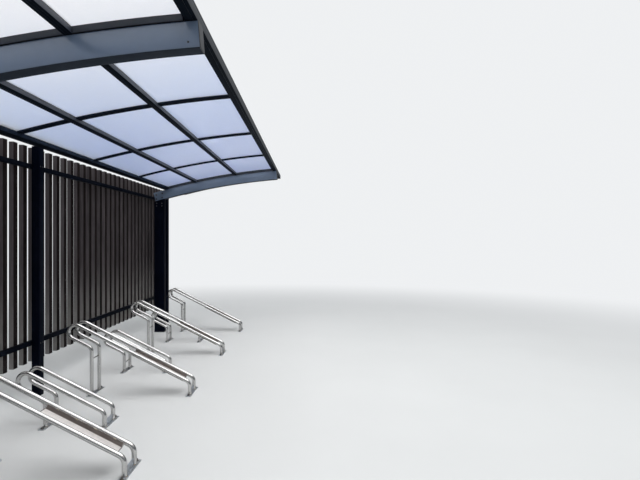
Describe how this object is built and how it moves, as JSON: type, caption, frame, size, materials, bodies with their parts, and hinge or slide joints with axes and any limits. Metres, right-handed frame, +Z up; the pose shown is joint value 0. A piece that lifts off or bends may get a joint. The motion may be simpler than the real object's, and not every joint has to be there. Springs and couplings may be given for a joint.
{
  "type": "bicycle shelter",
  "caption": "Open bicycle shelter: curved cantilever roof of translucent sheets on slim posts, slatted back screen, and tube racks set high and low in turn.",
  "frame": {"origin": "middle of the first main post's foot, at ground level", "axes": "+X from the posts towards the open front, +Y along the shelter towards the second main post, +Z up"},
  "size_m": [2.0815, 6.94, 2.5292],
  "materials": {
    "post": "satin near-black powder coat",
    "frame": "satin charcoal powder coat",
    "beam": "satin blue-grey powder coat",
    "cap": "satin grey moulding",
    "sheet": "frosted translucent polycarbonate",
    "slat": "matt dark brown foil with an upright grain",
    "rack_tube": "brushed and polished stainless",
    "trough": "folded stainless sheet, dulled"
  },
  "bodies": {
    "root": {"main_post_near": "post", "main_post_far": "post", "beam_near": "beam", "beam_far": "beam", "beam_cap_near": "cap", "beam_cap_far": "cap", "front_frame": "frame", "rear_gutter": "frame", "end_frame_near": "frame", "end_frame_far": "frame", "purlin_front": "frame", "purlin_rear": "frame", "crossbar_1": "frame", "crossbar_2": "frame", "crossbar_3": "frame", "crossbar_4": "frame", "crossbar_5": "frame", "roof_sheets_front": "sheet", "roof_sheets_middle": "sheet", "roof_sheets_rear": "sheet", "screen_post_near": "post", "screen_post_middle": "post", "screen_post_far": "post", "screen_rail_upper": "frame", "screen_rail_lower": "frame", "screen_slats": "slat", "rack_high_1": "rack_tube", "rack_low_1": "rack_tube", "rack_high_2": "rack_tube", "rack_low_2": "rack_tube", "rack_high_3": "rack_tube", "rack_low_3": "rack_tube", "rack_high_4": "rack_tube", "wheel_trough_1": "trough", "wheel_trough_2": "trough", "wheel_trough_3": "trough", "wheel_trough_4": "trough"}
  },
  "joints": []
}
